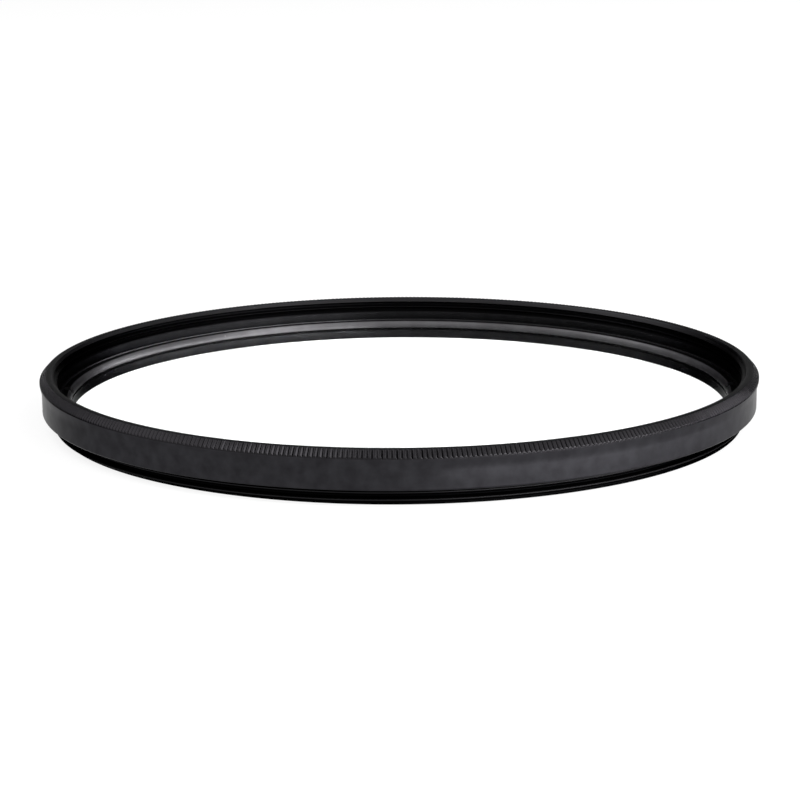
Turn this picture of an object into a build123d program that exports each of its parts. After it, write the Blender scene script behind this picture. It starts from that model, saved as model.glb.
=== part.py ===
"""Screw-in camera lens filter: a turned ring, a clear disc and the ring that clamps it.

All sizes are millimetres. The origin is the centre of the rear face, which the filter
rests on, and +Z runs along the optical axis toward the front. Both threads are kept as
plain walls: the rear one at its major diameter and the front one at its minor diameter.
"""

import math
import os

from build123d import *

# Thread that joins the filter to a lens behind it and to a cap or a second filter in front.
thread_diameter = 77.0
thread_pitch = 0.75
external_depth_factor = 0.6134
internal_depth_factor = 0.5413

# Rear end: male thread with a lead-in, and a runout groove under the flange.
rear_thread_length = 1.75
rear_lead_in = 0.3
runout_width = 0.35
runout_clearance = 0.1

# Grip band and the slightly larger rim above it.
band_wall = 1.28
band_edge_chamfer = 0.15
rim_step = 0.22
rim_lip = 0.02
rim_land = 0.05
rim_blend_height = 0.9

# Bevel round the rim's front edge, cut all round with a fine straight knurl.
bevel_width = 0.6
bevel_height = 0.65
knurl_teeth = 504
knurl_depth = 0.14
knurl_land = 0.18

# Seat of the disc: a ledge below it and a thin wall round it.
ledge_height = 1.0
ledge_width = 0.75
seat_wall = 0.69

# Clear disc.
glass_thickness = 1.5
glass_side_clearance = 0.1
glass_edge_chamfer = 0.15

# Ring that clamps the disc, sunk a little below the end of the front thread.
retainer_thickness = 0.8
retainer_shoulder = 0.35
retainer_clearance = 0.04
retainer_clamp_gap = 0.15
retainer_recess = 0.1
retainer_overlap = 0.65
retainer_bevel_width = 0.3
retainer_bevel_height = 0.5
slot_count = 2
slot_width = 1.5
slot_depth = 0.4

# Front end: female thread and the bevel at its mouth.
front_thread_length = 1.95
mouth_chamfer = 0.55

# Radii that follow from the thread.
thread_radius = thread_diameter / 2
rear_root_radius = thread_radius - external_depth_factor * thread_pitch
runout_radius = rear_root_radius - runout_clearance
front_bore_radius = thread_radius - internal_depth_factor * thread_pitch
band_radius = thread_radius + band_wall
rim_radius = band_radius + rim_step
seat_radius = rear_root_radius - seat_wall
glass_radius = seat_radius - glass_side_clearance
aperture_radius = seat_radius - ledge_width
retainer_bore_radius = seat_radius + retainer_shoulder
retainer_outer_radius = retainer_bore_radius - retainer_clearance
retainer_inner_radius = glass_radius - retainer_overlap

# Heights, stacked from the rear face.
glass_top = ledge_height + glass_thickness
shoulder_height = glass_top - retainer_clamp_gap
retainer_top = glass_top + retainer_thickness
front_thread_start = retainer_top + retainer_recess
front_thread_end = front_thread_start + front_thread_length
total_height = front_thread_end + mouth_chamfer
bevel_start = total_height - bevel_height

# Knurl: flat-sided teeth that point at the bevel's apex, and V grooves that run out below it.
tooth_turn = 360 / knurl_teeth
flat_radius = rim_radius * math.cos(math.radians(tooth_turn / 2))
bevel_shrink = 1 - bevel_width / flat_radius
groove_radius = rim_radius - knurl_depth * math.hypot(bevel_width, bevel_height) / bevel_height
groove_runout = (rim_radius / groove_radius - 1) * flat_radius * bevel_height / bevel_width
rim_start = bevel_start - groove_runout - rim_land

# Cutters stand this far out of what they cut.
cutter_margin = 1.0


def turned(*corners):
    """Solid of revolution round the optical axis, from (radius, height) corners."""
    return revolve(Plane.XZ * make_face(Polyline(*corners, close=True)), Axis.Z)


def frame_body():
    """Outside of the ring from the rear face up to the knurled rim, without its opening."""
    return turned(
        (0, 0),
        (thread_radius - rear_lead_in, 0),
        (thread_radius, rear_lead_in),
        (thread_radius, rear_thread_length - runout_width),
        (runout_radius, rear_thread_length - runout_width),
        (runout_radius, rear_thread_length),
        (band_radius - band_edge_chamfer, rear_thread_length),
        (band_radius, rear_thread_length + band_edge_chamfer),
        (band_radius, rim_start - rim_blend_height),
        (rim_radius - rim_lip, rim_start),
        (0, rim_start),
    )


def frame_opening():
    """Stepped opening: aperture, disc seat, retainer bore, front thread and its mouth."""
    return turned(
        (0, -cutter_margin),
        (aperture_radius, -cutter_margin),
        (aperture_radius, ledge_height),
        (seat_radius, ledge_height),
        (seat_radius, shoulder_height),
        (retainer_bore_radius, shoulder_height),
        (retainer_bore_radius, front_thread_start),
        (front_bore_radius, front_thread_start),
        (front_bore_radius, front_thread_end),
        (front_bore_radius + mouth_chamfer + cutter_margin, total_height + cutter_margin),
        (0, total_height + cutter_margin),
    )


def knurled_rim():
    """Disc with the knurl round it: each tooth has a flat on the rim, a land and two flanks."""

    def pair(radius, height):
        """Points on the middles of the two grooves beside the tooth on the +X side."""
        middle = Vector(radius, 0, height)
        return [middle.rotate(Axis.Z, side * tooth_turn / 2) for side in (-1, 1)]

    foot = pair(rim_radius, rim_start)
    tip = pair(rim_radius, bevel_start - groove_runout)
    root = pair(groove_radius * bevel_shrink, total_height)
    low = [Vector(flat_radius, side * knurl_land / 2, bevel_start) for side in (-1, 1)]
    high = [Vector(p.X * bevel_shrink, p.Y * bevel_shrink, total_height) for p in low]
    outlines = (
        (foot[0], foot[1], tip[1], low[1], low[0], tip[0]),
        (low[0], low[1], high[1], high[0]),
        (tip[0], low[0], high[0], root[0]),
        (low[1], tip[1], root[1], high[1]),
    )
    tooth = [Face(Polyline(*outline, close=True)) for outline in outlines]
    turns = [tooth_turn * number for number in range(knurl_teeth)]
    sides = [face.rotate(Axis.Z, turn) for turn in turns for face in tooth]
    crown = [p.rotate(Axis.Z, turn) for turn in turns for p in (root[0], *high)]
    base = [foot[0].rotate(Axis.Z, turn) for turn in turns]
    ends = [Face(Polyline(*outline, close=True)) for outline in (crown, base)]
    return Solid(Shell(sides + ends))


def filter_frame():
    """One-piece ring: rear thread, grip band, knurled rim, disc seat and front thread."""
    return frame_body() + knurled_rim() - frame_opening()


def glass_disc():
    """Flat clear disc with its sharp edges broken, seated on the ledge."""
    inner = glass_radius - glass_edge_chamfer
    return turned(
        (0, ledge_height),
        (inner, ledge_height),
        (glass_radius, ledge_height + glass_edge_chamfer),
        (glass_radius, glass_top - glass_edge_chamfer),
        (inner, glass_top),
        (0, glass_top),
    )


def retaining_ring():
    """Thin ring on top of the disc, with two spanner slots across its front face."""
    ring = turned(
        (retainer_inner_radius, glass_top),
        (retainer_outer_radius, glass_top),
        (retainer_outer_radius, retainer_top),
        (retainer_inner_radius + retainer_bevel_width, retainer_top),
        (retainer_inner_radius, retainer_top - retainer_bevel_height),
    )
    ring_width = retainer_outer_radius - retainer_inner_radius
    cutter = Box(2 * ring_width, slot_width, 2 * slot_depth)
    middle = retainer_inner_radius + ring_width / 2
    slots = PolarLocations(middle, slot_count)
    return ring - [Pos(0, 0, retainer_top) * place * cutter for place in slots]


os.makedirs("parts", exist_ok=True)
export_step(filter_frame(), "parts/filter_frame.step")
export_step(glass_disc(), "parts/glass_disc.step")
export_step(retaining_ring(), "parts/retaining_ring.step")
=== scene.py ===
"""Looks of a screw-in camera lens filter: turned ring, clear disc and clamp ring on a table.

Sizes are millimetres in the object's own frame, whose origin is the centre of the rear face
and whose +Z is the optical axis toward the front. Meshes turn them into metres.
"""

import logging
import math
import random
from collections.abc import Callable, Iterable, Sequence
from dataclasses import dataclass, field
from enum import Enum

import bmesh
import bpy
from mathutils import Matrix, Vector


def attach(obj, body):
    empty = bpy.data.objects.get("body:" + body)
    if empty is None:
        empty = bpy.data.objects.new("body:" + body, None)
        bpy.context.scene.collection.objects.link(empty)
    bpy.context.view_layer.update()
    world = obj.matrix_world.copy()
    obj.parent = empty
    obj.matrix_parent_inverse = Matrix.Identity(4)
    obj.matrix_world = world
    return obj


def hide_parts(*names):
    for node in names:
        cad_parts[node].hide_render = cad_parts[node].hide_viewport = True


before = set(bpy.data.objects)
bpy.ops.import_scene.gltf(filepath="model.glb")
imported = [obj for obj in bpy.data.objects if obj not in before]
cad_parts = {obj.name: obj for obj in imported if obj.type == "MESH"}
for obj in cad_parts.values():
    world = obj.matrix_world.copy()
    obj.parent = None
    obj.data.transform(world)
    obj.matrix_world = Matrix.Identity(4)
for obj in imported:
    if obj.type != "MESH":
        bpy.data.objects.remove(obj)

LOG = logging.getLogger("lens_filter")
MM = 0.001
COLUMNS = 504
WEAR = "edge_wear"
# Point attribute of painted shade: how far the colour is darkened where shade falls in grooves and
# recesses.
PAINTED_SHADE = "painted_shade"
NOISE_SPAN = (0.3, 0.7)

Point = tuple[float, float, float]


# ---------------------------------------------------------------- meshes


class Side(Enum):
    """Whether a thread is cut into a bore or on a shaft."""

    BORE = 1
    SHAFT = -1


@dataclass(frozen=True)
class Corner:
    """One corner of a turned section, with the size of its broken edge and the shade painted on it.
    """

    radius: float
    height: float
    broken: float = 0.0
    painted_shade: float = 0.0


@dataclass(frozen=True)
class Row:
    """One circle of a turned surface, how exposed it is to wear and how much shade is painted on
    it.
    """

    radius: float
    height: float
    wear: float = 0.0
    painted_shade: float = 0.0


def round_corners(corners: Sequence[Corner]) -> list[Row]:
    """Turn an open run of corners into rows, with a small arc at each broken edge.

    Args:
        corners: The section's corners in order; the first and last stay sharp.

    Returns:
        Rows along the section.
    """
    first, final = corners[0], corners[-1]
    rows = [Row(first.radius, first.height, 0.0, first.painted_shade)]
    for before, here, after in zip(corners, corners[1:], corners[2:]):
        middle = Vector((here.radius, here.height))
        if not here.broken:
            rows.append(Row(*middle, 0.0, here.painted_shade))
            continue
        back = (Vector((before.radius, before.height)) - middle).normalized() * here.broken
        ahead = (Vector((after.radius, after.height)) - middle).normalized() * here.broken
        for share in (0.0, 0.5, 1.0):
            bend = middle + back * (1 - share) ** 2 + ahead * share**2
            rows.append(Row(bend.x, bend.y, 1.0 - here.painted_shade, here.painted_shade))
    rows.append(Row(final.radius, final.height, 0.0, final.painted_shade))
    return rows


class RingMesh:
    """Points and faces of a piece that is built ring by ring round the optical axis."""

    def __init__(self) -> None:
        """Start with no points and no faces."""
        self.points: list[Point] = []
        self.wear: list[float] = []
        # Painted shade of each point, 0 for none to 1 for the darkest.
        self.painted_shade: list[float] = []
        self.faces: list[tuple[int, ...]] = []
        self.kinds: list[int] = []
        self.kind = 0
        self.finishes: list["Finish"] = []

    def use(self, finish: "Finish") -> None:
        """Give the faces that are added from here on this finish."""
        if finish not in self.finishes:
            self.finishes.append(finish)
        self.kind = self.finishes.index(finish)

    def point(self, angle: float, row: Row) -> int:
        """Add one point of a row.

        Args:
            angle: Angle from +X in radians.
            row: The radius, height, wear and painted shade there.

        Returns:
            The point's number.
        """
        x, y = row.radius * math.cos(angle), row.radius * math.sin(angle)
        self.points.append((x, y, row.height))
        self.wear.append(row.wear)
        self.painted_shade.append(row.painted_shade)
        return len(self.points) - 1

    def ring(self, row: Row, columns: int = COLUMNS) -> list[int]:
        """Add a plain circle of points and return their numbers."""
        step = math.tau / columns
        return [self.point(step * column, row) for column in range(columns)]

    def face(self, corners: Iterable[int]) -> None:
        """Add one face, leaving out repeated corners and faces that have collapsed.

        Args:
            corners: Point numbers round the face.
        """
        kept = list(dict.fromkeys(corners))
        if len(kept) > 2:
            self.faces.append(tuple(kept))
            self.kinds.append(self.kind)

    def strip(self, lower: Sequence[int], upper: Sequence[int]) -> None:
        """Join two closed rings of the same number of points with four-sided faces."""
        for here, there in zip(range(-1, len(lower) - 1), range(len(lower))):
            self.face((lower[here], lower[there], upper[there], upper[here]))

    def gather(self, fine: Sequence[int], coarse: Sequence[int]) -> None:
        """Join a fine closed ring to a coarser one with one face for each coarse step.

        Args:
            fine: Point numbers of the finer ring, which starts half a coarse step further on.
            coarse: Point numbers of the coarser ring.
        """
        each = len(fine) // len(coarse)
        for number in range(len(coarse)):
            run = [fine[(number * each - each // 2 + k) % len(fine)] for k in range(each + 1)]
            self.face([coarse[number], *run, coarse[(number + 1) % len(coarse)]])

    def lathe(self, rows: Sequence[Row], start: Sequence[int] | None = None) -> list[int]:
        """Add rows one after another and join them.

        Args:
            rows: The rows to add.
            start: A ring that the first row is joined to, if any.

        Returns:
            The last ring's point numbers.
        """
        last = list(start) if start is not None else None
        for row in rows:
            ring = self.ring(row)
            if last is not None:
                self.strip(last, ring)
            last = ring
        return last or []

    def finish(self, name: str, crease: float = 34.0) -> bpy.types.Object:
        """Make the Blender object and set it on the part's body.

        Args:
            name: The piece's name.
            crease: Angle in degrees above which an edge is shaded sharp.

        Returns:
            The new object.
        """
        mesh = bpy.data.meshes.new(name)
        mesh.from_pydata([[MM * c for c in p] for p in self.points], [], self.faces)
        for label, values in ((WEAR, self.wear), (PAINTED_SHADE, self.painted_shade)):
            mesh.attributes.new(label, "FLOAT", "POINT").data.foreach_set("value", values)
        mesh.polygons.foreach_set("material_index", self.kinds)
        shape = bmesh.new()
        shape.from_mesh(mesh)
        bmesh.ops.recalc_face_normals(shape, faces=shape.faces)
        shape.to_mesh(mesh)
        shape.free()
        mesh.shade_smooth()
        mesh.set_sharp_from_angle(angle=math.radians(crease))
        for finish in self.finishes:
            mesh.materials.append(finish.material())
        piece = bpy.data.objects.new(name, mesh)
        bpy.context.scene.collection.objects.link(piece)
        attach(piece, "root")
        mesh.calc_loop_triangles()
        LOG.info("%s: %d triangles", name, len(mesh.loop_triangles))
        return piece


@dataclass(frozen=True)
class Thread:
    """A single-start right-hand thread.

    The crest flat is a share of the pitch, the breaks are shares of a flank, and the drop and
    the root depth are shares of the thread's depth. The painted shade says how much shade is
    painted on the crest, and the growth how fast that painted shade rises toward the root.
    """

    side: Side
    pitch: float
    crest_radius: float
    root_radius: float
    crest_flat: float
    start: float
    end: float
    fade: float = 0.0
    phase: float = 0.0
    flank_rows: int = 4
    flank_deg: float = 30.0
    crest_break: float = 0.12
    crest_drop: float = 0.1
    root_break: float = 0.1
    root_depth: float = 0.93
    end_wear: float = 0.3
    # Painted shade on the thread: its level at the crest, and how fast it grows to full toward the
    # root.
    painted_shade: float = 0.8
    shade_growth: float = 3.0
    join: float = 0.01

    def section(self) -> list[tuple[float, float]]:
        """Rows over one pitch, from the middle of the crest.

        Returns:
            Each row's share of the pitch and share of the thread's depth.
        """
        rise = abs(self.crest_radius - self.root_radius) * math.tan(math.radians(self.flank_deg))
        flank = rise / self.pitch
        crest = self.crest_flat / 2
        nick = self.crest_break * flank
        half = [(crest - nick, 0.0), (crest + nick, self.crest_drop)]
        for number in range(1, self.flank_rows):
            share = number / self.flank_rows
            half.append((crest + flank * share, share))
        half.append((crest + flank * (1 - self.root_break), self.root_depth))
        half.append((crest + flank + nick, 1.0))
        return half + [(1 - share, depth) for share, depth in reversed(half)]

    def depth_at(self, share: float) -> float:
        """Depth of the thread at one place in its section.

        Args:
            share: How far along the pitch, 0 to 1.

        Returns:
            0 at the crest to 1 at the root.
        """
        rows = self.section()
        (first, crest), (final, root) = rows[0], rows[-1]
        rows = [(final - 1, root), *rows, (first + 1, crest)]
        for (a, low), (b, high) in zip(rows, rows[1:]):
            if a <= share <= b:
                return low + (high - low) * (share - a) / (b - a)
        return 0.0

    def row(self, depth: float, height: float, turned: float, wear: float = 0.0) -> Row:
        """The cut surface at one place.

        Args:
            depth: Thread depth there, 0 to 1.
            height: Height above the rear face.
            turned: Radius of the turned surface before the thread was cut.
            wear: How exposed the place is to wear.

        Returns:
            The radius and height once the thread is cut, and the shade painted there.
        """
        if self.fade:
            depth *= min(1.0, max(0.0, (height - self.start) / self.fade))
        cut = self.crest_radius + (self.root_radius - self.crest_radius) * depth
        if (turned > cut) is (self.side is Side.BORE):
            return Row(turned, height, wear, 0.0)
        # Painted shade, darker toward the thread's root.
        sunk = min(1.0, self.shade_growth * depth)
        return Row(cut, height, wear, self.painted_shade + (1.0 - self.painted_shade) * sunk)

    def cut(self, mesh: RingMesh, turned: Callable[[float], float]) -> tuple[list[int], list[int]]:
        """Add the threaded surface, whose rows follow the helix.

        Args:
            mesh: The mesh to add to.
            turned: Radius of the turned surface at a height.

        Returns:
            The rings at the lower and the upper end.
        """
        section = self.section()
        count = len(section)
        step = math.tau / COLUMNS

        def edge(height: float) -> list[int]:
            """Add the ring at an end, where the thread runs out.

            Args:
                height: The end's height.

            Returns:
                The ring's point numbers.
            """
            ring = []
            for column in range(COLUMNS):
                turns = (height - self.phase) / self.pitch - column / COLUMNS
                depth = self.depth_at(turns % 1.0)
                cut = self.row(depth, height, turned(height), self.end_wear)
                ring.append(mesh.point(step * column, cut))
            return ring

        low, high = edge(self.start), edge(self.end)
        made: dict[tuple[int, int], int] = {}

        def corner(row: int, column: int) -> int:
            """Find or add the point of a row and column.

            Args:
                row: The row's number along the helix.
                column: The column's number; past the last it is a pitch further on.

            Returns:
                The point's number.
            """
            if column == COLUMNS:
                row, column = row + count, 0
            if (row, column) not in made:
                share, depth = section[row % count]
                turns = row // count + share + column / COLUMNS
                height = self.phase + self.pitch * turns
                if height <= self.start + self.join:
                    made[row, column] = low[column]
                elif height >= self.end - self.join:
                    made[row, column] = high[column]
                else:
                    cut = self.row(depth, height, turned(height))
                    made[row, column] = mesh.point(step * column, cut)
            return made[row, column]

        first = math.floor((self.start - self.phase) / self.pitch - 2) * count
        last = math.ceil((self.end - self.phase) / self.pitch + 1) * count
        for row in range(first, last):
            for column in range(COLUMNS):
                mesh.face(
                    (
                        corner(row, column),
                        corner(row + 1, column),
                        corner(row + 1, column + 1),
                        corner(row, column + 1),
                    )
                )
        return low, high


@dataclass(frozen=True)
class Knurl:
    """Straight V grooves along the rim's bevel, which run out in points on the rim.

    Every groove starts at a column of the plain ring below, so the two have the same number.
    Uneven and wander say how far grooves differ in depth and place, as shares of their size.
    """

    teeth: int = COLUMNS
    depth: float = 0.14
    land: float = 0.18
    bevel_width: float = 0.6
    bevel_height: float = 0.65
    root_round: float = 0.1
    root_depth: float = 0.97
    tip_round: float = 0.14
    tip_spread: float = 0.6
    tip_wear: float = 0.4
    broken: float = 0.03
    uneven: float = 0.05
    wander: float = 0.06
    # Painted shade at the bottom of each groove, fading to none on the lands.
    groove_shade: float = 0.15
    seed: int = 11

    def across(self, pitch: float) -> list[tuple[float, float, float]]:
        """Columns over one tooth, from the middle of a groove to the next.

        Args:
            pitch: The tooth's width.

        Returns:
            Each column's share of the pitch, share of the groove's depth, and wear.
        """
        flank = (pitch - self.land) / 2 / pitch
        nick = self.tip_round * flank
        half = [
            (0.0, self.root_depth, 0.0),
            (flank * self.root_round, 1 - self.root_round, 0.0),
            (flank - nick, self.tip_round, self.tip_wear),
            (flank + nick * self.tip_spread, 0.0, 1.0),
        ]
        mirrored = [(1 - share, depth, wear) for share, depth, wear in reversed(half[1:])]
        return half + [(0.5, 0.0, 1.0)] + mirrored

    def cut(
        self, mesh: RingMesh, radius: float, foot: float, top: float, below: Sequence[int]
    ) -> list[int]:
        """Add the knurled rim between a plain ring and the flat front face.

        Args:
            mesh: The mesh to add to.
            radius: Radius of the rim.
            foot: Height of the fine ring under the grooves' points.
            top: Height of the front face.
            below: The plain ring that the knurl stands on.

        Returns:
            The fine ring at the edge of the front face.
        """
        chance = random.Random(self.seed)
        pitch = math.tau * radius / self.teeth
        columns = self.across(pitch)
        slope = self.bevel_height / self.bevel_width
        reach = self.depth * math.hypot(self.bevel_width, self.bevel_height) / self.bevel_height
        broken = self.broken
        rings: list[list[int]] = [[] for _ in range(6)]
        for tooth in range(self.teeth):
            ease = 1 - self.uneven * chance.random()
            shift = (chance.random() - 0.5) * self.wander
            for share, depth, wear in columns:
                slid = share + shift * math.sin(math.pi * share)
                angle = math.tau * (tooth + 0.5 + slid) / self.teeth
                inset = reach * ease * depth
                kink = top - self.bevel_height - inset * slope
                rim = radius - self.bevel_width - inset
                rows = (
                    (radius, foot, 0.0),
                    (radius, kink - broken, wear),
                    (radius - broken * 0.25, kink + broken * 0.3, wear),
                    (radius - broken / slope, kink + broken, 0.3 * wear),
                    (rim + broken * 0.6, top - broken * 0.6 * slope, 0.5 * wear),
                    (rim - broken * 0.4, top, 0.5),
                )
                for ring, (distance, height, worn) in zip(rings, rows):
                    # Painted shade grows with the groove's depth.
                    row = Row(distance, height, worn, self.groove_shade * depth)
                    ring.append(mesh.point(angle, row))
        mesh.gather(rings[0], below)
        for lower, upper in zip(rings, rings[1:]):
            mesh.strip(lower, upper)
        return rings[-1]


# -------------------------------------------------------------- finishes


class NodeSketch:
    """Short way to add and link the nodes of one material or group."""

    def __init__(self, tree: bpy.types.NodeTree) -> None:
        """Keep the tree that the nodes go into."""
        self.tree = tree

    def add(self, kind: str, **settings: object) -> bpy.types.Node:
        """Add a node.

        Args:
            kind: The node's type name.
            **settings: Properties to set on it.

        Returns:
            The new node.
        """
        node = self.tree.nodes.new(kind)
        for name, value in settings.items():
            setattr(node, name, value)
        return node

    def feed(self, node: bpy.types.Node, socket: str | int, source: object) -> None:
        """Link a socket to an input, or set it to a plain value.

        Args:
            node: The node whose input is fed.
            socket: The input's name or number.
            source: An output socket, a number or a colour.
        """
        if isinstance(source, bpy.types.NodeSocket):
            self.tree.links.new(source, node.inputs[socket])
        else:
            node.inputs[socket].default_value = source

    def maths(self, operation: str, *sources: object, clamp: bool = False) -> bpy.types.NodeSocket:
        """Add a math node.

        Args:
            operation: The node's operation.
            *sources: What feeds its inputs.
            clamp: Whether the result is kept from 0 to 1.

        Returns:
            The node's output.
        """
        node = self.add("ShaderNodeMath", operation=operation, use_clamp=clamp)
        for number, source in enumerate(sources):
            self.feed(node, number, source)
        return node.outputs[0]

    def blend(self, share: object, first: object, second: object) -> bpy.types.NodeSocket:
        """Mix two colours.

        Args:
            share: The share of the second, 0 to 1.
            first: The colour at 0.
            second: The colour at 1.

        Returns:
            The mixed colour's socket.
        """
        node = self.add("ShaderNodeMix", data_type="RGBA")
        self.feed(node, 0, share)
        self.feed(node, 6, first)
        self.feed(node, 7, second)
        return node.outputs[2]

    def remap(
        self, value: object, low: float, high: float, to: tuple[float, float]
    ) -> bpy.types.NodeSocket:
        """Map a value's range onto another and keep it inside.

        Args:
            value: The value's socket.
            low: The value that gives the first of the new range.
            high: The value that gives the second.
            to: The new range.

        Returns:
            The mapped value's socket.
        """
        node = self.add("ShaderNodeMapRange")
        for socket, source in zip(range(5), (value, low, high, *to)):
            self.feed(node, socket, source)
        return node.outputs[0]

    def noise(self, vector: object, scale: object, detail: float = 2.0) -> bpy.types.NodeSocket:
        """Add a noise texture.

        Args:
            vector: The place it is read at.
            scale: Its scale, in cells to the metre.
            detail: Its detail.

        Returns:
            The noise value's socket.
        """
        node = self.add("ShaderNodeTexNoise")
        self.feed(node, "Vector", vector)
        self.feed(node, "Scale", scale)
        self.feed(node, "Detail", detail)
        return node.outputs[0]


class Group(Enum):
    """The node groups that several finishes share."""

    TURNING = "turning_marks"
    WEAR = "worn_edges"
    DUST = "fine_dust"

    def tree(self) -> bpy.types.NodeTree:
        """Find the group's node tree, which is built the first time it is asked for.

        Returns:
            The node tree.
        """
        if self.value not in bpy.data.node_groups:
            makers = {
                Group.TURNING: build_turning_marks,
                Group.WEAR: build_worn_edges,
                Group.DUST: build_fine_dust,
            }
            makers[self](bpy.data.node_groups.new(self.value, "ShaderNodeTree"))
        return bpy.data.node_groups[self.value]

    def place(self, sketch: NodeSketch, **values: object) -> bpy.types.Node:
        """Place the group in a material.

        Args:
            sketch: The material's nodes.
            **values: The group's inputs, with _ for each space.

        Returns:
            The group's node.
        """
        node = sketch.add("ShaderNodeGroup", node_tree=self.tree())
        for name, value in values.items():
            sketch.feed(node, name.replace("_", " "), value)
        return node


def open_group(
    tree: bpy.types.NodeTree, inputs: dict[str, float], outputs: Sequence[str]
) -> tuple[NodeSketch, bpy.types.Node, bpy.types.Node]:
    """Give a node group its sockets.

    Args:
        tree: The empty group.
        inputs: Each input's name and default value.
        outputs: Each output's name.

    Returns:
        The sketch, the input node and the output node.
    """
    for name, value in inputs.items():
        socket = tree.interface.new_socket(name, in_out="INPUT", socket_type="NodeSocketFloat")
        socket.default_value = value
    for name in outputs:
        tree.interface.new_socket(name, in_out="OUTPUT", socket_type="NodeSocketFloat")
    sketch = NodeSketch(tree)
    return sketch, sketch.add("NodeGroupInput"), sketch.add("NodeGroupOutput")


def build_turning_marks(tree: bpy.types.NodeTree) -> None:
    """Fine rings that a lathe tool leaves round the axis, and patches of uneven colour.

    Args:
        tree: The empty group.
    """
    carried_round = 0.012
    sketch, given, out = open_group(
        tree,
        {"Ring Scale": 9000.0, "Grain Scale": 16000.0, "Patch Scale": 30.0},
        ("Rings", "Grain", "Patches"),
    )
    place = sketch.add("ShaderNodeTexCoord").outputs["Object"]
    split = sketch.add("ShaderNodeSeparateXYZ")
    sketch.feed(split, 0, place)
    x, y, z = split.outputs
    squares = sketch.maths("ADD", sketch.maths("MULTIPLY", x, x), sketch.maths("MULTIPLY", y, y))
    radius = sketch.maths("SQRT", squares)
    around = sketch.maths("MULTIPLY", sketch.maths("ADD", x, y), carried_round)
    lined = sketch.add("ShaderNodeCombineXYZ")
    for number, source in enumerate((radius, around, z)):
        sketch.feed(lined, number, source)
    rings = sketch.noise(lined.outputs[0], given.outputs["Ring Scale"], 3.0)
    grain = sketch.noise(place, given.outputs["Grain Scale"], 2.0)
    patches = sketch.noise(place, given.outputs["Patch Scale"], 4.0)
    for name, source in zip(("Rings", "Grain", "Patches"), (rings, grain, patches)):
        sketch.feed(out, name, source)


def build_worn_edges(tree: bpy.types.NodeTree) -> None:
    """Mask of the edges where handling has thinned the finish.

    Args:
        tree: The empty group.
    """
    least = 0.35
    sketch, given, out = open_group(tree, {"Amount": 0.5, "Breakup Scale": 700.0}, ("Mask",))
    place = sketch.add("ShaderNodeTexCoord").outputs["Object"]
    edge = sketch.add("ShaderNodeAttribute", attribute_name=WEAR).outputs["Fac"]
    broken = sketch.noise(place, given.outputs["Breakup Scale"], 3.0)
    uneven = sketch.remap(broken, *NOISE_SPAN, (least, 1.0))
    mask = sketch.maths("MULTIPLY", sketch.maths("MULTIPLY", edge, uneven), given.outputs["Amount"])
    sketch.feed(out, "Mask", mask)


def build_fine_dust(tree: bpy.types.NodeTree) -> None:
    """Mask of a few specks of dust, and of a faint haze between them.

    Args:
        tree: The empty group.
    """
    cluster_scale, cluster_level = 130.0, 0.62
    sketch, given, out = open_group(
        tree, {"Speck Scale": 500.0, "Speck Size": 0.05, "Haze Scale": 45.0}, ("Specks", "Haze")
    )
    place = sketch.add("ShaderNodeTexCoord").outputs["Object"]
    cells = sketch.add("ShaderNodeTexVoronoi")
    sketch.feed(cells, "Vector", place)
    sketch.feed(cells, "Scale", given.outputs["Speck Scale"])
    near = sketch.maths("LESS_THAN", cells.outputs["Distance"], given.outputs["Speck Size"])
    clusters = sketch.noise(place, cluster_scale)
    some = sketch.maths("GREATER_THAN", clusters, cluster_level)
    sketch.feed(out, "Specks", sketch.maths("MULTIPLY", near, some))
    sketch.feed(out, "Haze", sketch.noise(place, given.outputs["Haze Scale"], 4.0))


class Finish:
    """A material that pieces are made of; each kind says what its nodes are."""

    name: str

    def material(self) -> bpy.types.Material:
        """Find the finish's material, which is made the first time it is asked for.

        Returns:
            The material.
        """
        made = bpy.data.materials.get(self.name)
        if made is None:
            made = bpy.data.materials.new(self.name)
            made.use_nodes = True
            self.dress(NodeSketch(made.node_tree), made.node_tree.nodes["Principled BSDF"])
        return made

    def dress(self, sketch: NodeSketch, shader: bpy.types.Node) -> None:
        """Add the finish's nodes to the material.

        Args:
            sketch: The material's nodes.
            shader: The material's Principled shader.
        """
        raise NotImplementedError


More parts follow.
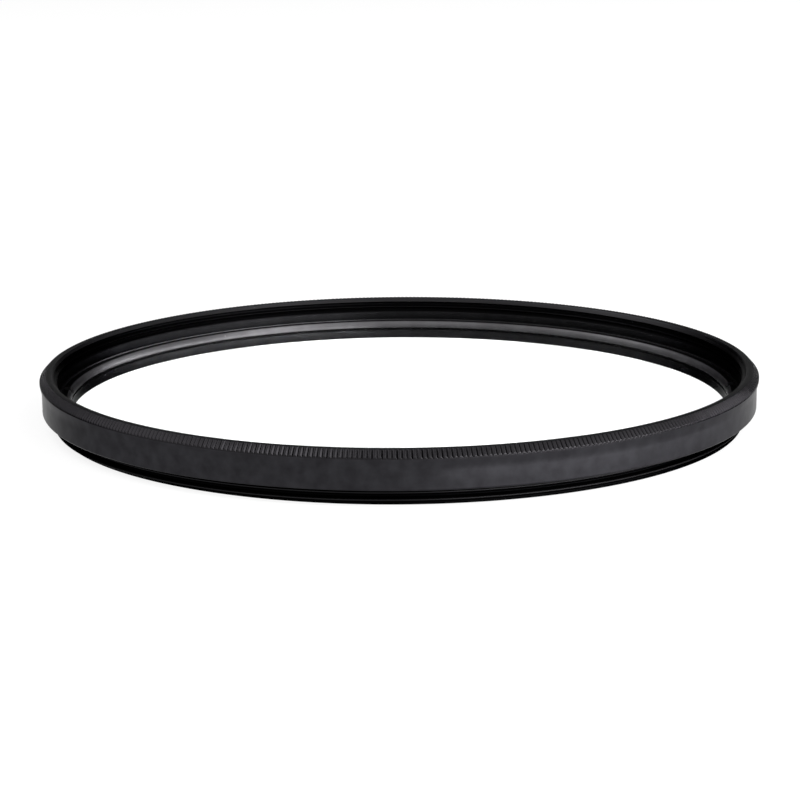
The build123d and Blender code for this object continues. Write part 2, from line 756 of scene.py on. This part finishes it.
@dataclass(frozen=True)
class Anodised(Finish):
    """Black anodised aluminium: turning marks, colour cast, paler worn edges, painted shade in
    recesses.

    Dark and cast are its two shades, worn is the shade of rubbed edges, and the darkest colour is
    shade painted in grooves and recesses. The contrasts are shares of the tone and steps of
    roughness.
    """

    name: str
    dark: tuple[float, float, float]
    cast: tuple[float, float, float]
    worn: tuple[float, float, float]
    # Colour of the shade painted in grooves and recesses.
    shaded: tuple[float, float, float] = (0.002, 0.002, 0.0022)
    roughness: float = 0.42
    metallic: float = 1.0
    edge_tint: float = 0.33
    brushed: float = 0.7
    brushed_turn: float = 0.25
    wear: float = 0.5
    rubbed: float = 0.12
    relief: float = 0.0004
    relief_strength: float = 0.5
    grain_relief: float = 0.5
    ring_contrast: float = 0.05
    grain_contrast: float = 0.04
    speck: tuple[float, float, float] = (0.3, 0.29, 0.28)
    speck_share: float = 0.25

    def dress(self, sketch: NodeSketch, shader: bpy.types.Node) -> None:
        """Add the anodised metal's nodes.

        Args:
            sketch: The material's nodes.
            shader: The material's Principled shader.
        """
        marks = Group.TURNING.place(sketch)
        edges = Group.WEAR.place(sketch, Amount=self.wear)
        dust = Group.DUST.place(sketch)
        patch = sketch.remap(marks.outputs["Patches"], 0.2, 0.8, (0.0, 1.0))
        colour = sketch.blend(patch, (*self.dark, 1), (*self.cast, 1))
        tones = (1 - self.ring_contrast, 1 + self.ring_contrast)
        ringed = sketch.remap(marks.outputs["Rings"], *NOISE_SPAN, tones)
        tone = sketch.add("ShaderNodeVectorMath", operation="SCALE")
        sketch.feed(tone, 0, colour)
        sketch.feed(tone, "Scale", ringed)
        # Painted shade: the colour is darkened toward the shade colour where the painted-shade
        # attribute is high.
        sunk = sketch.add("ShaderNodeAttribute", attribute_name=PAINTED_SHADE).outputs["Fac"]
        shaded = sketch.blend(sunk, tone.outputs[0], (*self.shaded, 1))
        thinned = sketch.blend(edges.outputs["Mask"], shaded, (*self.worn, 1))
        speckled = sketch.maths("MULTIPLY", dust.outputs["Specks"], self.speck_share)
        sketch.feed(shader, "Base Color", sketch.blend(speckled, thinned, (*self.speck, 1)))
        grains = (self.roughness - self.grain_contrast, self.roughness + self.grain_contrast)
        rough = sketch.remap(marks.outputs["Grain"], *NOISE_SPAN, grains)
        rubbed = sketch.maths("MULTIPLY", edges.outputs["Mask"], self.rubbed)
        sketch.feed(shader, "Roughness", sketch.maths("SUBTRACT", rough, rubbed, clamp=True))
        grain = sketch.maths("MULTIPLY", marks.outputs["Grain"], self.grain_relief)
        height = sketch.maths("ADD", marks.outputs["Rings"], grain)
        bump = sketch.add("ShaderNodeBump")
        sketch.feed(bump, "Strength", self.relief_strength)
        sketch.feed(bump, "Distance", self.relief * MM)
        sketch.feed(bump, "Height", height)
        sketch.feed(shader, "Normal", bump.outputs[0])
        sketch.feed(shader, "Metallic", self.metallic)
        sketch.feed(shader, "Specular Tint", (self.edge_tint,) * 3 + (1,))
        sketch.feed(shader, "Anisotropic", self.brushed)
        sketch.feed(shader, "Anisotropic Rotation", self.brushed_turn)
        around = sketch.add("ShaderNodeTangent", direction_type="RADIAL", axis="Z")
        sketch.feed(shader, "Tangent", around.outputs[0])


@dataclass(frozen=True)
class CoatedGlass(Finish):
    """Clear glass with a coating that takes nearly all its shine, and faint dust."""

    name: str
    tint: tuple[float, float, float]
    index: float = 1.52
    shine: float = 0.06
    haziness: float = 0.012
    speck: tuple[float, float, float] = (0.8, 0.8, 0.8)
    speck_share: float = 0.2

    def dress(self, sketch: NodeSketch, shader: bpy.types.Node) -> None:
        """Add the glass's nodes.

        Args:
            sketch: The material's nodes.
            shader: The material's Principled shader.
        """
        dust = Group.DUST.place(sketch, Speck_Scale=350.0, Speck_Size=0.03)
        haze = sketch.remap(dust.outputs["Haze"], 0.4, 0.7, (0.0, self.haziness))
        specks = sketch.maths("MULTIPLY", dust.outputs["Specks"], self.speck_share)
        colour = sketch.blend(specks, (*self.tint, 1), (*self.speck, 1))
        sketch.feed(shader, "Base Color", colour)
        sketch.feed(shader, "Roughness", sketch.maths("ADD", haze, specks))
        sketch.feed(shader, "Transmission Weight", 1.0)
        sketch.feed(shader, "IOR", self.index)
        clear = sketch.add("ShaderNodeBsdfRefraction")
        sketch.feed(clear, "Color", (*self.tint, 1))
        sketch.feed(clear, "IOR", self.index)
        coated = sketch.add("ShaderNodeMixShader")
        sketch.feed(coated, 0, self.shine)
        sketch.feed(coated, 1, clear.outputs[0])
        sketch.feed(coated, 2, shader.outputs[0])
        sketch.feed(sketch.tree.nodes["Material Output"], "Surface", coated.outputs[0])


SATIN_BLACK = Anodised(
    "satin_black_anodised",
    dark=(0.0124, 0.0118, 0.0133),
    cast=(0.0132, 0.0123, 0.0142),
    worn=(0.045, 0.045, 0.050),
    edge_tint=0.55,
)
MATT_BLACK = Anodised(
    "matt_black_anodised",
    dark=(0.0180, 0.0178, 0.0186),
    cast=(0.0192, 0.0186, 0.0200),
    worn=(0.040, 0.040, 0.043),
)
KNURL_BLACK = Anodised(
    "knurled_black_anodised",
    dark=(0.0165, 0.0158, 0.0172),
    cast=(0.0175, 0.0166, 0.0184),
    worn=(0.045, 0.044, 0.047),
    roughness=0.27,
    wear=0.3,
)
CLAMP_BLACK = Anodised(
    "black_clamp_ring",
    dark=(0.048, 0.046, 0.049),
    cast=(0.053, 0.051, 0.054),
    worn=(0.09, 0.09, 0.094),
)
CLEAR = CoatedGlass("clear_coated_glass", tint=(0.985, 0.995, 0.992))


# ---------------------------------------------------------------- pieces


@dataclass
class FilterFrame:
    """One-piece ring: male thread, grip band, knurled rim, disc seat and female thread.

    Values that end in broken are sizes of broken edges, and the shade values say how much shade
    is painted on a face, from 0 for an open face to 1 for the bottom of a groove.
    """

    height: float = 5.9
    aperture: float = 36.6
    ledge: float = 1.0
    seat: float = 37.35
    shoulder: float = 2.35
    clamp_bore: float = 37.7
    clamp_end: float = 3.4
    band: float = 39.78
    rim: float = 40.0
    rim_foot: float = 4.993
    rim_blend: float = 0.893
    mouth: float = 0.55
    flange: float = 1.75
    runout: float = 37.94
    runout_start: float = 1.4
    lead_in: float = 0.3
    band_chamfer: float = 0.15
    knurl_foot: float = 0.045
    face_split: float = 0.4
    face_start: float = 0.3
    broken: float = 0.03
    runout_broken: float = 0.04
    band_broken: float = 0.05
    blend_broken: float = 0.3
    rim_broken: float = 0.02
    mouth_broken: float = 0.045
    ledge_broken: float = 0.05
    rear_broken: float = 0.06
    # Painted shade on the front bore, at its lower end and on the aperture's wall.
    bore_shade: float = 0.8
    bore_end_shade: float = 0.95
    aperture_shade: float = 0.64
    knurl: Knurl = field(default_factory=Knurl)
    male: Thread = Thread(Side.SHAFT, 0.75, 38.5, 38.04, 0.16, start=0.0, end=1.4, phase=-0.04)
    female: Thread = Thread(
        Side.BORE, 0.75, 38.094, 38.5, 0.06, start=4.2, end=5.8, fade=0.45, phase=0.2
    )

    def shaft_radius(self, height: float) -> float:
        """Radius of the turned rear end before its thread is cut."""
        return self.male.crest_radius - max(0.0, self.lead_in - height)

    def bore_radius(self, height: float) -> float:
        """Radius of the turned front bore and its mouth before the thread is cut."""
        return self.female.crest_radius + max(0.0, height - (self.height - self.mouth))

    def build(self) -> bpy.types.Object:
        """Build the ring, from the rear face round the outside to the inside and back.

        Returns:
            The ring.
        """
        mesh = RingMesh()
        mesh.use(MATT_BLACK)
        male_low, male_high = self.male.cut(mesh, self.shaft_radius)
        female_low, female_high = self.female.cut(mesh, self.bore_radius)
        flange = mesh.lathe(self.neck(), male_high)
        mesh.use(SATIN_BLACK)
        below = mesh.lathe(self.outside(), flange)
        mesh.use(KNURL_BLACK)
        foot = self.rim_foot + self.knurl_foot
        edge = self.knurl.cut(mesh, self.rim, foot, self.height, below)
        mesh.use(MATT_BLACK)
        bevel_end = self.rim - self.knurl.bevel_width
        front = mesh.ring(Row(bevel_end - self.face_start, self.height))
        mesh.gather(edge, front)
        mesh.strip(mesh.lathe(self.mouth_edge(), front), female_high)
        mesh.strip(mesh.lathe(self.inside(), female_low), male_low)
        return mesh.finish("filter_ring")

    def neck(self) -> list[Row]:
        """Section of the runout groove and the flange's underside.

        Returns:
            Rows after the end of the male thread.
        """
        corners = (
            Corner(self.male.crest_radius, self.runout_start),
            # Full painted shade in the runout groove under the flange.
            Corner(self.runout, self.runout_start, self.runout_broken, 1.0),
            Corner(self.runout, self.flange, self.runout_broken, 1.0),
            Corner(self.band - self.face_split, self.flange),
        )
        return round_corners(corners)[1:]

    def outside(self) -> list[Row]:
        """Section of the grip band and the foot of the rim.

        Returns:
            Rows after the flange's underside, up to the knurl.
        """
        corners = (
            Corner(self.band - self.face_split, self.flange),
            Corner(self.band - self.band_chamfer, self.flange, self.broken),
            Corner(self.band, self.flange + self.band_chamfer, self.band_broken),
            Corner(self.band, self.rim_foot - self.rim_blend, self.blend_broken),
            Corner(self.rim, self.rim_foot, self.rim_broken),
            Corner(self.rim, self.rim_foot + self.broken),
        )
        return round_corners(corners)[1:]

    def mouth_edge(self) -> list[Row]:
        """Section of the broken edge between the front face and the mouth's bevel.

        Returns:
            Rows of the edge alone.
        """
        inner = self.bore_radius(self.height)
        corners = (
            Corner(inner + self.face_split, self.height),
            Corner(inner, self.height, self.mouth_broken),
            Corner(self.female.crest_radius, self.height - self.mouth),
        )
        return round_corners(corners)[1:-1]

    def inside(self) -> list[Row]:
        """Section from the front bore down to the rear face.

        Returns:
            Rows after the lower end of the female thread.
        """
        corners = (
            # The bore, its lower end and the aperture's wall carry painted shade.
            Corner(self.female.crest_radius, self.female.start, 0.0, self.bore_shade),
            Corner(self.female.crest_radius, self.clamp_end, self.broken, self.bore_end_shade),
            Corner(self.clamp_bore, self.clamp_end, self.broken),
            Corner(self.clamp_bore, self.shoulder, self.broken),
            Corner(self.seat, self.shoulder, self.broken),
            Corner(self.seat, self.ledge, self.broken),
            Corner(self.aperture, self.ledge, self.ledge_broken, self.aperture_shade),
            Corner(self.aperture, 0.0, self.rear_broken, self.aperture_shade),
            Corner(self.aperture + self.face_split, 0.0),
        )
        return round_corners(corners)[1:]

    def dress(self, piece: bpy.types.Object) -> None:
        """Let the ring stand for its solid, whose part is hidden."""
        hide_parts("filter_frame")


@dataclass
class GlassDisc:
    """Flat clear disc with ground edges."""

    radius: float = 37.25
    bottom: float = 1.0
    top: float = 2.5
    chamfer: float = 0.15
    broken: float = 0.02
    border: float = 1.0
    crease: float = 20.0

    def build(self) -> bpy.types.Object:
        """Build the disc, from its rear side round the edge to the front.

        Returns:
            The disc.
        """
        mesh = RingMesh()
        mesh.use(CLEAR)
        corners = (
            Corner(self.radius - self.border, self.bottom),
            Corner(self.radius - self.chamfer, self.bottom, self.broken),
            Corner(self.radius, self.bottom + self.chamfer, self.broken),
            Corner(self.radius, self.top - self.chamfer, self.broken),
            Corner(self.radius - self.chamfer, self.top, self.broken),
            Corner(self.radius - self.border, self.top),
        )
        rings = [mesh.ring(row) for row in round_corners(corners)]
        for lower, upper in zip(rings, rings[1:]):
            mesh.strip(lower, upper)
        mesh.face(rings[0])
        mesh.face(rings[-1])
        return mesh.finish("clear_disc", crease=self.crease)

    def dress(self, piece: bpy.types.Object) -> None:
        """Let the disc stand for its solid and let the lamps shine through it.

        Args:
            piece: The disc.
        """
        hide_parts("glass_disc")
        piece.visible_shadow = False


@dataclass
class ClampRing:
    """Thin ring that holds the disc, with spanner slots across its front face.

    Values that end in broken, and the painted shade values, mean the same as in the filter's frame.
    """

    inner: float = 36.6
    outer: float = 37.66
    bottom: float = 2.5
    top: float = 3.3
    bevel_width: float = 0.3
    bevel_height: float = 0.5
    slots: int = 2
    slot_width: float = 1.5
    slot_depth: float = 0.4
    slot_join_turn: float = 0.004
    columns: int = 252
    broken: float = 0.03
    outer_broken: float = 0.05
    lip_broken: float = 0.08
    foot_broken: float = 0.2
    # Painted shade at the bevel's foot, on the inner wall, on the rear face, and on the front face
    # and outer wall.
    foot_shade: float = 0.1
    wall_start: float = 0.06
    wall_shade: float = 0.4
    bottom_shade: float = 0.5
    top_start: float = 0.1
    top_shade: float = 0.85

    def section(self) -> list[Row]:
        """Section of the ring.

        Returns:
            Rows once round it.
        """
        foot = self.top - self.bevel_height
        lip = self.inner + self.bevel_width
        wall = Corner(self.inner, self.bottom + self.wall_start, 0.0, self.wall_shade)
        # Painted shade: light at the bevel's foot, heavier on the inner wall and rear face,
        # heaviest on the front face and outer wall.
        corners = (
            wall,
            Corner(self.inner, foot, self.foot_broken, self.foot_shade),
            Corner(lip, self.top, self.lip_broken),
            Corner(lip + self.top_start, self.top, 0.0, self.top_shade),
            Corner(self.outer, self.top, self.outer_broken, self.top_shade),
            Corner(self.outer, self.bottom, self.broken, self.top_shade),
            Corner(self.inner, self.bottom, self.broken, self.bottom_shade),
            wall,
        )
        return round_corners(corners)[:-1]

    def build(self) -> bpy.types.Object:
        """Build the ring sector by sector, with the slots' floors and walls.

        Returns:
            The ring.
        """
        mesh = RingMesh()
        mesh.use(CLAMP_BLACK)
        rows = self.section()
        floor = self.top - self.slot_depth
        half = self.slot_width / 2
        sector = math.tau / self.slots
        steps = self.columns // self.slots
        edge = math.asin(half / self.inner) + self.slot_join_turn
        span = sector - 2 * edge

        def column(angle: float, wall: int, sunk: bool) -> list[int]:
            """Add the points of one column.

            Args:
                angle: The column's angle in radians.
                wall: -1 or 1 lays it on a slot's wall, and 0 lays it at the angle.
                sunk: Whether it is cut down to the slot's floor.

            Returns:
                The column's point numbers.
            """
            line = []
            for row in rows:
                lean = wall * math.asin(half / row.radius)
                height = min(row.height, floor) if sunk else row.height
                line.append(mesh.point(angle + lean, Row(row.radius, height, row.wear, row.painted_shade)))
            return line

        lines = []
        for slot in range(self.slots):
            start = slot * sector
            lines += [column(start, -1, False), column(start, -1, True), column(start, 0, True)]
            lines += [column(start, 1, True), column(start, 1, False)]
            lines += [column(start + edge + span * k / steps, 0, False) for k in range(steps + 1)]
        for before, line in zip(lines, lines[1:] + lines[:1]):
            mesh.strip(before, line)
        return mesh.finish("clamp_ring")

    def dress(self, piece: bpy.types.Object) -> None:
        """Let the ring stand for its solid, whose part is hidden."""
        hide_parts("retaining_ring")


# ---------------------------------------------------------------- studio


@dataclass(frozen=True)
class Lamp:
    """A soft lamp with a flat front that looks at the object's middle; sizes in metres."""

    name: str
    azimuth_deg: float
    elevation_deg: float
    distance: float
    width: float
    tall: float
    radiance: float

    def place(self) -> None:
        """Add the lamp; azimuth 0 is the camera's side and positive is to its right."""
        data = bpy.data.lights.new(self.name, "AREA")
        data.shape = "RECTANGLE"
        data.size = self.width
        data.size_y = self.tall
        data.energy = self.radiance * math.pi * self.width * self.tall
        turn, lift = math.radians(self.azimuth_deg), math.radians(self.elevation_deg)
        toward = Vector(
            (
                math.sin(turn) * math.cos(lift),
                -math.cos(turn) * math.cos(lift),
                math.sin(lift),
            )
        )
        lamp = bpy.data.objects.new(self.name, data)
        lamp.location = toward * self.distance
        lamp.rotation_mode = "QUATERNION"
        across = Vector((math.cos(turn), math.sin(turn), 0.0))
        facing = Matrix((across, toward.cross(across), toward)).transposed()
        lamp.rotation_quaternion = facing.to_quaternion()
        bpy.context.scene.collection.objects.link(lamp)


@dataclass(frozen=True)
class Viewpoint:
    """The camera's place, which looks down on the ring at a low angle."""

    elevation_deg: float = 12.327
    distance: float = 300.0
    focal: float = 120.5
    target: Point = (0.0, 0.0, 5.9)
    aim: Point = (0.065, 0.0, 1.69)
    roll_deg: float = -0.415
    sensor: float = 36.0
    clip: tuple[float, float] = (0.01, 20.0)

    def place(self) -> None:
        """Add the camera and make it the scene's."""
        data = bpy.data.cameras.new("camera")
        data.sensor_width = self.sensor
        data.lens = self.focal
        data.clip_start, data.clip_end = self.clip
        lift = math.radians(self.elevation_deg)
        back = Vector((0.0, -math.cos(lift), math.sin(lift)))
        spot = Vector(self.target) + back * self.distance
        camera = bpy.data.objects.new("camera", data)
        camera.location = spot * MM
        camera.rotation_mode = "QUATERNION"
        look = (Vector(self.aim) - spot).to_track_quat("-Z", "Y")
        roll = Matrix.Rotation(math.radians(self.roll_deg), 3, "Z").to_quaternion()
        camera.rotation_quaternion = look @ roll
        bpy.context.scene.collection.objects.link(camera)
        bpy.context.scene.camera = camera


@dataclass(frozen=True)
class Studio:
    """White table, white surroundings, lamps and camera; what is seen and what lights differ."""

    floor_size: float = 8.0
    floor_glow: float = 0.84
    floor_seen: float = 0.22
    floor_lit: float = 0.80
    sky_seen: float = 1.0
    sky_lit: float = 0.25
    lamps: tuple[Lamp, ...] = (
        Lamp("front_strip", 28.0, 6.0, 1.0, 0.50, 0.11, 28.0),
        Lamp("key_strip", 58.0, 6.0, 1.0, 0.50, 0.11, 38.0),
        Lamp("side_strip", 88.0, 6.0, 1.0, 0.50, 0.11, 30.0),
        Lamp("back_strip", 118.0, 6.0, 1.0, 0.50, 0.11, 40.0),
        Lamp("key", 57.0, 43.0, 0.60, 0.30, 0.30, 7.2),
        Lamp("panel", 0.0, 50.0, 0.90, 0.80, 0.60, 1.9),
        Lamp("left_fill", -60.0, 45.0, 0.70, 0.40, 0.40, 0.9),
        Lamp("left_back", -115.0, 48.0, 0.70, 0.40, 0.40, 2.8),
    )
    view: Viewpoint = Viewpoint()

    def shown(self, sketch: NodeSketch) -> bpy.types.NodeSocket:
        """Tell the rays that see the background directly, in a reflection or through glass.

        Args:
            sketch: The nodes of the background's material or world.

        Returns:
            The socket, which is 1 for those rays.
        """
        path = sketch.add("ShaderNodeLightPath")
        both = sketch.maths(
            "MAXIMUM", path.outputs["Is Camera Ray"], path.outputs["Is Glossy Ray"]
        )
        return sketch.maths("MAXIMUM", both, path.outputs["Is Transmission Ray"])

    def build(self) -> None:
        """Add the floor, the world, the lamps and the camera."""
        half = self.floor_size / 2
        mesh = bpy.data.meshes.new("floor")
        mesh.from_pydata(
            [(-half, -half, 0), (half, -half, 0), (half, half, 0), (-half, half, 0)],
            [],
            [(0, 1, 2, 3)],
        )
        mesh.materials.append(self.floor_material())
        floor = bpy.data.objects.new("floor", mesh)
        bpy.context.scene.collection.objects.link(floor)
        self.build_world()
        for lamp in self.lamps:
            lamp.place()
        self.view.place()
        bpy.context.scene.view_settings.view_transform = "Standard"

    def floor_material(self) -> bpy.types.Material:
        """Make the white table's material, which keeps the object's soft shadow.

        Returns:
            The material.
        """
        made = bpy.data.materials.new("white_table")
        made.use_nodes = True
        made.node_tree.nodes.clear()
        sketch = NodeSketch(made.node_tree)
        glow = sketch.add("ShaderNodeEmission")
        sketch.feed(glow, "Strength", self.floor_glow)
        seen = sketch.add("ShaderNodeBsdfDiffuse")
        sketch.feed(seen, "Color", (self.floor_seen,) * 3 + (1,))
        lit = sketch.add("ShaderNodeBsdfDiffuse")
        sketch.feed(lit, "Color", (self.floor_lit,) * 3 + (1,))
        bright = sketch.add("ShaderNodeAddShader")
        sketch.feed(bright, 0, glow.outputs[0])
        sketch.feed(bright, 1, seen.outputs[0])
        mix = sketch.add("ShaderNodeMixShader")
        sketch.feed(mix, 0, self.shown(sketch))
        sketch.feed(mix, 1, lit.outputs[0])
        sketch.feed(mix, 2, bright.outputs[0])
        out = sketch.add("ShaderNodeOutputMaterial")
        sketch.feed(out, "Surface", mix.outputs[0])
        return made

    def build_world(self) -> None:
        """White where it is seen, and a plain soft level where it lights."""
        world = bpy.data.worlds.new("surroundings")
        world.use_nodes = True
        bpy.context.scene.world = world
        sketch = NodeSketch(world.node_tree)
        back = world.node_tree.nodes["Background"]
        sketch.feed(back, "Color", (1.0, 1.0, 1.0, 1))
        level = sketch.remap(self.shown(sketch), 0.0, 1.0, (self.sky_lit, self.sky_seen))
        sketch.feed(back, "Strength", level)


def main() -> None:
    """Build the studio and the three pieces, and report each."""
    logging.basicConfig(level=logging.INFO, format="%(name)s %(message)s")
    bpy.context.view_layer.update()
    Studio().build()
    for part in (FilterFrame(), GlassDisc(), ClampRing()):
        piece = part.build()
        part.dress(piece)
        LOG.info("%s stands for its solid", piece.name)


if __name__ == "__main__":
    main()
